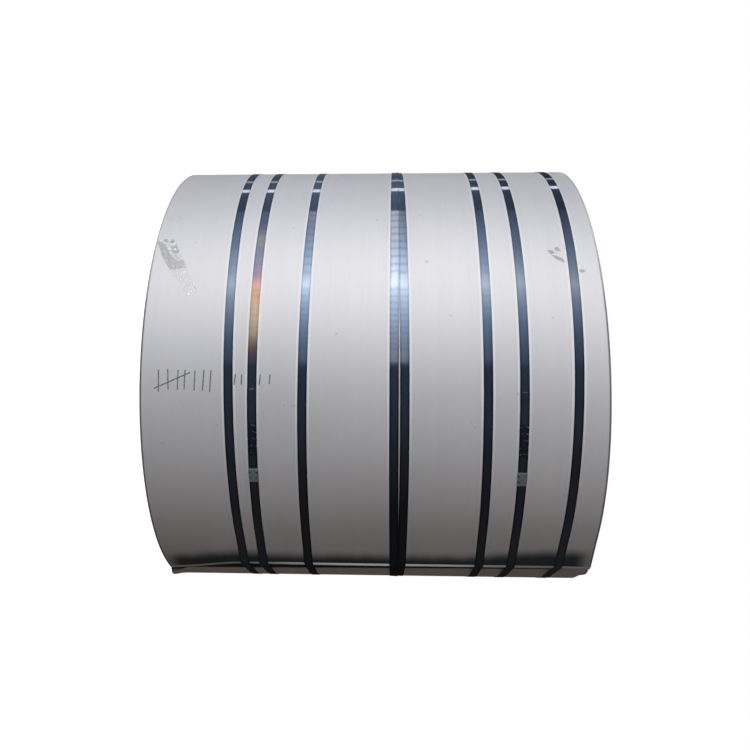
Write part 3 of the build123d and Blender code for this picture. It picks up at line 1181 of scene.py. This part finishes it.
# Dark bars across the opening: eleven that spread out upwards, then nine evenly spaced
LOWER_BARS = [10.0 + 2.35 * k + 0.06 * k * k for k in range(11)]
UPPER_BARS = [49.0 + 4.75 * k for k in range(9)]
BAR_WIDTH = 0.62


def glow_finish():
    f = Finish("surround_glow")
    _, x, y, z = f.place()
    rise = f.times(f.rise(x, y), 180 / math.pi)

    def bell(value, width):
        share = f.math("DIVIDE", value, width)
        return f.math("EXPONENT", f.times(f.times(share, share), -1.0))

    aside = f.plus(f.minus(z, COLUMN_HEIGHT), f.times(f.math("MAXIMUM", rise, 0.0), COLUMN_LEAN))
    bars = None
    for group, depth in ((LOWER_BARS, 0.28), (UPPER_BARS, 0.38)):
        for middle_rise in group:
            bar = f.times(bell(f.minus(rise, middle_rise), BAR_WIDTH), depth)
            bars = bar if bars is None else f.plus(bars, bar)
    bars = f.minus(1.0, f.times(bars, bell(aside, 1.0)))

    off = f.minus(rise, OPENING_RISE)
    away = f.math("MAXIMUM", f.math("DIVIDE", off, FADE_ABOVE), f.math("DIVIDE", off, -FADE_BELOW))
    near = f.math("EXPONENT", f.times(away, -1.0))
    sky = f.mix(f.spread(near, 0.2, 0.9), SKY_COLOUR, OPENING_COLOUR)
    sky = f.scaled(sky, f.times(near, OPENING_LEVEL))
    roof = f.scaled(Vector(ROOF_LIGHT), f.spread(rise, 110, 135, 1.0, 0.35))
    sky = f.mix(f.spread(rise, ROOF_STARTS, ROOF_STARTS + 1), sky, roof)
    sides = f.plus(f.times(bell(aside, 1.1), 0.7), 0.3)
    sky = f.scaled(sky, f.times(sides, bars))

    ground = f.scaled(Vector(GROUND_LIGHT), f.spread(rise, -140, -85, 0.2, 1.0))
    ground = f.mix(f.spread(rise, -45, 0), ground, HAZE_LIGHT)
    near_ground = f.times(f.spread(rise, -45, -70), bell(aside, 1.1))
    ground = f.scaled(ground, f.spread(near_ground, 0.0, 1.0, 1.0, 0.4))
    above = f.spread(rise, GROUND_ENDS - 2.0, GROUND_ENDS + 1.4)
    light = f.mix(above, ground, sky)

    column = f.spread(rise, GROUND_ENDS, ROOF_STARTS, *COLUMN_LEVELS)
    column = f.times(column, f.spread(rise, GROUND_ENDS, GROUND_ENDS + 0.7))
    column = f.times(column, f.spread(rise, ROOF_STARTS + 1, ROOF_STARTS))
    column = f.times(column, f.times(bell(aside, COLUMN_WIDTH), bars))
    light = f.vector("ADD", light, f.scaled(Vector(COLUMN_COLOUR), column))

    slant = f.times(f.math("MAXIMUM", f.minus(z, 0.1), 0.0), 1.25)
    for middle_rise, width, level in SLITS:
        off = f.minus(f.minus(rise, slant), middle_rise)
        lit = f.times(f.spread(f.math("ABSOLUTE", off), width, width * 0.8), level)
        light = f.vector("ADD", light, f.combine(lit, lit, lit))
    glow = f.node("ShaderNodeEmission")
    f.put(glow.inputs["Color"], light)
    f.put(glow.inputs["Strength"], 1.0)
    f.tree.links.new(glow.outputs[0], f.output.inputs["Surface"])
    return f.material


def make_surround():
    """Curved screen in front of the coil that only its reflections show."""
    vertices, faces = [], []
    steps = 180
    for k in range(steps + 1):
        rise = -180 + 345 * k / steps
        n = direction(270 - rise)
        for z in (-5.5, 6.75):
            vertices.append((n[0] * SURROUND_RADIUS, n[1] * SURROUND_RADIUS, z))
    for k in range(steps):
        faces.append((2 * k, 2 * k + 1, 2 * k + 3, 2 * k + 2))
    screen = new_object("surround", vertices, faces)
    screen.data.materials.append(glow_finish())
    screen.visible_camera = False
    screen.visible_diffuse = False
    screen.visible_transmission = False
    screen.visible_volume_scatter = False
    screen.visible_shadow = False


def make_floor():
    size = 14.0
    floor = new_object("floor", [(-size, -size, 0), (size, -size, 0), (size, size, 0), (-size, size, 0)],
                       [(0, 1, 2, 3)])
    f = Finish("floor")
    pale = f.node("ShaderNodeBsdfDiffuse")
    pale.inputs["Color"].default_value = (0.5, 0.5, 0.5, 1)
    glow = f.node("ShaderNodeEmission")
    rays = f.node("ShaderNodeLightPath")
    seen = f.math("ADD", rays.outputs["Is Camera Ray"], rays.outputs["Is Glossy Ray"], clamp=True)
    seen = f.math("ADD", seen, rays.outputs["Is Transmission Ray"], clamp=True)
    f.put(glow.inputs["Strength"], f.times(seen, 0.9))
    both = f.node("ShaderNodeAddShader")
    f.put(both.inputs[0], pale.outputs[0])
    f.put(both.inputs[1], glow.outputs[0])
    f.put(f.output.inputs["Surface"], both.outputs[0])
    floor.data.materials.append(f.material)
    floor.visible_glossy = False


def make_world():
    world = bpy.data.worlds.new("world")
    bpy.context.scene.world = world
    world.use_nodes = True
    tree = world.node_tree
    back = tree.nodes["Background"]
    rays = tree.nodes.new("ShaderNodeLightPath")
    total = None
    for name in ("Is Camera Ray", "Is Glossy Ray", "Is Transmission Ray"):
        if total is None:
            total = rays.outputs[name]
            continue
        add = tree.nodes.new("ShaderNodeMath")
        add.operation, add.use_clamp = "ADD", True
        tree.links.new(total, add.inputs[0])
        tree.links.new(rays.outputs[name], add.inputs[1])
        total = add.outputs[0]
    level = tree.nodes.new("ShaderNodeMapRange")
    tree.links.new(total, level.inputs["Value"])
    level.inputs["To Min"].default_value = 0.22
    level.inputs["To Max"].default_value = 1.0
    back.inputs["Color"].default_value = (1, 1, 1, 1)
    tree.links.new(level.outputs[0], back.inputs["Strength"])


def make_lamp(name, rise, distance, z, size, watts):
    data = bpy.data.lights.new(name, "AREA")
    data.shape, data.size, data.energy = "SQUARE", size, watts
    lamp = bpy.data.objects.new(name, data)
    n = direction(270 - rise)
    place = Vector((n[0] * distance, n[1] * distance, z))
    lamp.location = place
    lamp.rotation_euler = (Vector((0, 0, MIDDLE)) - place).to_track_quat("-Z", "Y").to_euler()
    lamp.visible_glossy = False
    bpy.context.scene.collection.objects.link(lamp)


bpy.context.scene.view_settings.view_transform = "Standard"
make_camera()
make_world()
make_surround()
make_floor()
make_lamp("key", 6, 3.4, 1.6, 2.2, 105)

side, ends = sheet_finish(), edge_finish()
coil = make_sheet()
coil.data.materials.append(side)
coil.data.materials.append(ends)
flat_faces = np.zeros(len(coil.data.polygons), np.int32)
for polygon in coil.data.polygons:
    if abs(polygon.normal.z) > 0.35:
        flat_faces[polygon.index] = 1
coil.data.polygons.foreach_set("material_index", flat_faces)
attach(coil, "root")
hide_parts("coil")

plain = strap_finish("strap_blued")
front_lap = strap_finish("strap_lapped", lapped=True)
heated = strap_finish("strap_heated", heated=True, lapped=True)
zinc = seal_finish()
for index, row in enumerate(STRAP_ROWS):
    strap = make_strap(index, row)
    strap.data.materials.append({1: heated, 6: front_lap}.get(index, plain))
    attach(strap, "root")
    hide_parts(f"strap_{index + 1}")
    seal = make_seal(index, row)
    seal.data.materials.append(zinc)
    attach(seal, "root")
    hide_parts(f"seal_{index + 1}")

worn_tape = tape_finish()
for name, corners, end, seed, wrinkle in (
        ("lower", LOWER_TAPE, "low", 11, 0.0016), ("upper", UPPER_TAPE, "high", 23, 0.0009)):
    tape = make_tape(f"tape_remnant_{name}", corners, end, seed, wrinkle)
    tape.data.materials.append(worn_tape)
    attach(tape, "root")
    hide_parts(f"tape_{name}")
